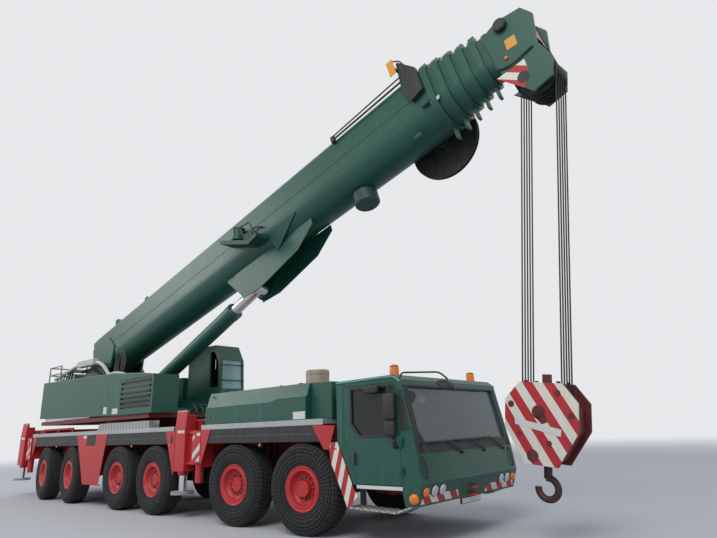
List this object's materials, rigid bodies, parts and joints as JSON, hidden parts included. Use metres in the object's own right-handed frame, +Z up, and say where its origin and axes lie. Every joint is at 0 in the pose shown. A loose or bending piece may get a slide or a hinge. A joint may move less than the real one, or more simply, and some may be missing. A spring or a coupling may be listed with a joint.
{
  "type": "six-axle telescopic mobile crane",
  "caption": "All-terrain mobile crane: steered carrier with outriggers, slewing superstructure, luffing telescopic boom and hook block.",
  "frame": {"origin": "middle of the machine's box, on the ground", "axes": "+X forward along the carrier and boom, +Y to the driver's left, +Z up"},
  "size_m": [18.3048, 3.26, 8.7371],
  "materials": {
    "chassis_red": "red gloss paint",
    "outrigger_red": "red gloss paint",
    "axle_black": "black chassis paint, dusty",
    "green_paint": "dark green gloss paint",
    "boom_green": "dark green gloss paint",
    "deck_grey": "light grey paint, worn",
    "glass": "tinted glass",
    "engine_iron": "plain",
    "chrome": "hard chrome",
    "steel": "greased steel",
    "rope_steel": "greased wire rope",
    "block_red": "red and white paint",
    "wheel_red": "black rubber on a red disc wheel",
    "jack_steel": "grey paint"
  },
  "bodies": {
    "carrier": {"chassis": "chassis_red", "axles": "axle_black", "deck": "deck_grey", "engine_cover": "green_paint", "engine": "engine_iron", "cab": "green_paint", "cab_glass": "glass"},
    "knuckle_1_right": {"knuckle_1_right": "axle_black"},
    "wheel_1_right": {"wheel_1_right": "wheel_red"},
    "knuckle_1_left": {"knuckle_1_left": "axle_black"},
    "wheel_1_left": {"wheel_1_left": "wheel_red"},
    "knuckle_2_right": {"knuckle_2_right": "axle_black"},
    "wheel_2_right": {"wheel_2_right": "wheel_red"},
    "knuckle_2_left": {"knuckle_2_left": "axle_black"},
    "wheel_2_left": {"wheel_2_left": "wheel_red"},
    "wheel_3_right": {"wheel_3_right": "wheel_red"},
    "wheel_3_left": {"wheel_3_left": "wheel_red"},
    "wheel_4_right": {"wheel_4_right": "wheel_red"},
    "wheel_4_left": {"wheel_4_left": "wheel_red"},
    "knuckle_5_right": {"knuckle_5_right": "axle_black"},
    "wheel_5_right": {"wheel_5_right": "wheel_red"},
    "knuckle_5_left": {"knuckle_5_left": "axle_black"},
    "wheel_5_left": {"wheel_5_left": "wheel_red"},
    "knuckle_6_right": {"knuckle_6_right": "axle_black"},
    "wheel_6_right": {"wheel_6_right": "wheel_red"},
    "knuckle_6_left": {"knuckle_6_left": "axle_black"},
    "wheel_6_left": {"wheel_6_left": "wheel_red"},
    "outrigger_front_right": {"outrigger_front_right": "outrigger_red"},
    "jack_front_right": {"jack_front_right": "jack_steel"},
    "outrigger_front_left": {"outrigger_front_left": "outrigger_red"},
    "jack_front_left": {"jack_front_left": "jack_steel"},
    "outrigger_rear_right": {"outrigger_rear_right": "outrigger_red"},
    "jack_rear_right": {"jack_rear_right": "jack_steel"},
    "outrigger_rear_left": {"outrigger_rear_left": "outrigger_red"},
    "jack_rear_left": {"jack_rear_left": "jack_steel"},
    "superstructure": {"slew_bed": "chassis_red", "housing_right": "green_paint", "housing_left": "green_paint", "winch_frame": "green_paint", "crane_cab": "green_paint", "crane_cab_glass": "glass"},
    "winch_drum": {"winch_drum": "steel"},
    "crane_cab_door": {"crane_cab_door": "green_paint"},
    "cab_door_right": {"cab_door_right": "green_paint"},
    "cab_door_left": {"cab_door_left": "green_paint"},
    "boom": {"boom_base": "green_paint"},
    "luffing_barrel": {"luffing_barrel": "green_paint"},
    "luffing_rod": {"luffing_rod": "chrome"},
    "telescope_1": {"telescope_1": "boom_green"},
    "telescope_2": {"telescope_2": "boom_green"},
    "telescope_3": {"telescope_3": "boom_green"},
    "telescope_4": {"telescope_4": "boom_green"},
    "telescope_5": {"telescope_5": "boom_green", "head_sheaves": "steel"},
    "ropes": {"hoist_ropes": "rope_steel"},
    "hook_block": {"hook_block": "block_red"},
    "hook": {"hook": "steel"}
  },
  "joints": [
    {"name": "steer_1_right", "type": "hinge", "parent": "carrier", "child": "knuckle_1_right", "pos_m": [4.2775, -1.005, 0.74032], "axis": [0, 0, 1], "range_deg": [-36, 24]},
    {"name": "spin_1_right", "type": "hinge", "parent": "knuckle_1_right", "child": "wheel_1_right", "pos_m": [4.30886, -1.30336, 0.74032], "axis": [-0.1045, 0.9945, 0], "continuous": true},
    {"name": "steer_1_left", "type": "hinge", "parent": "carrier", "child": "knuckle_1_left", "pos_m": [4.2775, 0.965, 0.74032], "axis": [0, 0, 1], "range_deg": [-36.5, 24.5]},
    {"name": "spin_1_left", "type": "hinge", "parent": "knuckle_1_left", "child": "wheel_1_left", "pos_m": [4.24615, 1.26336, 0.74032], "axis": [-0.1045, 0.9945, 0], "continuous": true},
    {"name": "steer_2_right", "type": "hinge", "parent": "carrier", "child": "knuckle_2_right", "pos_m": [2.37751, -1.005, 0.74032], "axis": [0, 0, 1], "range_deg": [-29.3, 19.7]},
    {"name": "spin_2_right", "type": "hinge", "parent": "knuckle_2_right", "child": "wheel_2_right", "pos_m": [2.40365, -1.30386, 0.74032], "axis": [-0.0872, 0.9962, 0], "continuous": true},
    {"name": "steer_2_left", "type": "hinge", "parent": "carrier", "child": "knuckle_2_left", "pos_m": [2.37751, 0.965, 0.74032], "axis": [0, 0, 1], "range_deg": [-29.3, 19.7]},
    {"name": "spin_2_left", "type": "hinge", "parent": "knuckle_2_left", "child": "wheel_2_left", "pos_m": [2.35136, 1.26386, 0.74032], "axis": [-0.0872, 0.9962, 0], "continuous": true},
    {"name": "spin_3_right", "type": "hinge", "parent": "carrier", "child": "wheel_3_right", "pos_m": [-0.6125, -1.305, 0.74032], "axis": [0, 1, 0], "continuous": true},
    {"name": "spin_3_left", "type": "hinge", "parent": "carrier", "child": "wheel_3_left", "pos_m": [-0.6125, 1.265, 0.74032], "axis": [0, 1, 0], "continuous": true},
    {"name": "spin_4_right", "type": "hinge", "parent": "carrier", "child": "wheel_4_right", "pos_m": [-2.3325, -1.305, 0.74032], "axis": [0, 1, 0], "continuous": true},
    {"name": "spin_4_left", "type": "hinge", "parent": "carrier", "child": "wheel_4_left", "pos_m": [-2.3325, 1.265, 0.74032], "axis": [0, 1, 0], "continuous": true},
    {"name": "steer_5_right", "type": "hinge", "parent": "carrier", "child": "knuckle_5_right", "pos_m": [-5.1025, -1.005, 0.74032], "axis": [0, 0, 1], "range_deg": [-17.3, 25.7]},
    {"name": "spin_5_right", "type": "hinge", "parent": "knuckle_5_right", "child": "wheel_5_right", "pos_m": [-5.13385, -1.30336, 0.74032], "axis": [0.1045, 0.9945, 0], "continuous": true},
    {"name": "steer_5_left", "type": "hinge", "parent": "carrier", "child": "knuckle_5_left", "pos_m": [-5.1025, 0.965, 0.74032], "axis": [0, 0, 1], "range_deg": [-17.3, 25.7]},
    {"name": "spin_5_left", "type": "hinge", "parent": "knuckle_5_left", "child": "wheel_5_left", "pos_m": [-5.07114, 1.26336, 0.74032], "axis": [0.1045, 0.9945, 0], "continuous": true},
    {"name": "steer_6_right", "type": "hinge", "parent": "carrier", "child": "knuckle_6_right", "pos_m": [-6.9025, -1.005, 0.74032], "axis": [0, 0, 1], "range_deg": [-22.1, 32.9]},
    {"name": "spin_6_right", "type": "hinge", "parent": "knuckle_6_right", "child": "wheel_6_right", "pos_m": [-6.93906, -1.30276, 0.74032], "axis": [0.1219, 0.9925, 0], "continuous": true},
    {"name": "steer_6_left", "type": "hinge", "parent": "carrier", "child": "knuckle_6_left", "pos_m": [-6.9025, 0.965, 0.74032], "axis": [0, 0, 1], "range_deg": [-22.1, 32.9]},
    {"name": "spin_6_left", "type": "hinge", "parent": "knuckle_6_left", "child": "wheel_6_left", "pos_m": [-6.86593, 1.26276, 0.74032], "axis": [0.1219, 0.9925, 0], "continuous": true},
    {"name": "outrigger_front_right_slide", "type": "slide", "parent": "carrier", "child": "outrigger_front_right", "axis": [0, -1, 0], "range_m": [0, 2.1]},
    {"name": "jack_front_right_slide", "type": "slide", "parent": "outrigger_front_right", "child": "jack_front_right", "axis": [0, 0, -1], "range_m": [0, 0.7]},
    {"name": "outrigger_front_left_slide", "type": "slide", "parent": "carrier", "child": "outrigger_front_left", "axis": [0, 1, 0], "range_m": [0, 2.1]},
    {"name": "jack_front_left_slide", "type": "slide", "parent": "outrigger_front_left", "child": "jack_front_left", "axis": [0, 0, -1], "range_m": [0, 0.7]},
    {"name": "outrigger_rear_right_slide", "type": "slide", "parent": "carrier", "child": "outrigger_rear_right", "axis": [0, -1, 0], "range_m": [0, 2.1]},
    {"name": "jack_rear_right_slide", "type": "slide", "parent": "outrigger_rear_right", "child": "jack_rear_right", "axis": [0, 0, -1], "range_m": [0, 0.7]},
    {"name": "outrigger_rear_left_slide", "type": "slide", "parent": "carrier", "child": "outrigger_rear_left", "axis": [0, 1, 0], "range_m": [0, 2.1]},
    {"name": "jack_rear_left_slide", "type": "slide", "parent": "outrigger_rear_left", "child": "jack_rear_left", "axis": [0, 0, -1], "range_m": [0, 0.7]},
    {"name": "slew", "type": "hinge", "parent": "carrier", "child": "superstructure", "pos_m": [-3.47249, -0.02, 2.12], "axis": [0, 0, 1], "continuous": true},
    {"name": "winch_turn", "type": "hinge", "parent": "superstructure", "child": "winch_drum", "pos_m": [-8.4725, -0.02, 3.55], "axis": [0, 1, 0], "continuous": true},
    {"name": "crane_cab_door_slide", "type": "slide", "parent": "superstructure", "child": "crane_cab_door", "axis": [-1, 0, 0], "range_m": [0, 0.75]},
    {"name": "cab_door_right_swing", "type": "hinge", "parent": "carrier", "child": "cab_door_right", "pos_m": [6.47051, -1.542, 1.5], "axis": [0, 0, 1], "range_deg": [0, 75]},
    {"name": "cab_door_left_swing", "type": "hinge", "parent": "carrier", "child": "cab_door_left", "pos_m": [6.47051, 1.502, 1.5], "axis": [0, 0, -1], "range_deg": [0, 75]},
    {"name": "luff", "type": "hinge", "parent": "superstructure", "child": "boom", "pos_m": [-5.9426, -0.02, 3.73925], "axis": [0, -1, 0], "range_deg": [-15.4, 67.6]},
    {"name": "luffing_barrel_turn", "type": "hinge", "parent": "superstructure", "child": "luffing_barrel", "pos_m": [-4.62249, -0.02, 2.56], "axis": [0, -1, 0], "range_deg": [-16.25, 67.92]},
    {"name": "luffing_rod_slide", "type": "slide", "parent": "luffing_barrel", "child": "luffing_rod", "axis": [0.9167, 0, 0.3997], "range_m": [-0.4554, 1.9313]},
    {"name": "telescope_1_slide", "type": "slide", "parent": "boom", "child": "telescope_1", "axis": [0.9641, 0, 0.2656], "range_m": [0, 8.8]},
    {"name": "telescope_2_slide", "type": "slide", "parent": "telescope_1", "child": "telescope_2", "axis": [0.9641, 0, 0.2656], "range_m": [0, 8.8]},
    {"name": "telescope_3_slide", "type": "slide", "parent": "telescope_2", "child": "telescope_3", "axis": [0.9641, 0, 0.2656], "range_m": [0, 8.8]},
    {"name": "telescope_4_slide", "type": "slide", "parent": "telescope_3", "child": "telescope_4", "axis": [0.9641, 0, 0.2656], "range_m": [0, 8.8]},
    {"name": "telescope_5_slide", "type": "slide", "parent": "telescope_4", "child": "telescope_5", "axis": [0.9641, 0, 0.2656], "range_m": [0, 8.8]},
    {"name": "rope_hang", "type": "hinge", "parent": "telescope_5", "child": "ropes", "pos_m": [8.82249, -0.02, 7.29798], "axis": [0, -1, 0], "range_deg": [-60.49, 14.55]},
    {"name": "hoist", "type": "slide", "parent": "ropes", "child": "hook_block", "axis": [0, 0, -1], "range_m": [-3.7, 0.35], "deforming": ["hoist_ropes"]},
    {"name": "hook_swivel", "type": "hinge", "parent": "hook_block", "child": "hook", "pos_m": [8.12784, -0.02, 1.64047], "axis": [0.1219, 0, 0.9925], "continuous": true}
  ],
  "couplings": [
    {"joint": "steer_1_left", "follows": "steer_1_right", "ratio": 1},
    {"joint": "steer_2_right", "follows": "steer_1_right", "ratio": 0.8},
    {"joint": "steer_2_left", "follows": "steer_1_right", "ratio": 0.8},
    {"joint": "steer_5_right", "follows": "steer_1_right", "ratio": -0.7},
    {"joint": "steer_5_left", "follows": "steer_1_right", "ratio": -0.7},
    {"joint": "steer_6_right", "follows": "steer_1_right", "ratio": -0.9},
    {"joint": "steer_6_left", "follows": "steer_1_right", "ratio": -0.9},
    {"joint": "luffing_barrel_turn", "follows": "luff", "ratio": 0.99},
    {"joint": "luffing_rod_slide", "follows": "luff", "m_per_rad": 1.62},
    {"joint": "rope_hang", "follows": "luff", "ratio": -0.88}
  ]
}
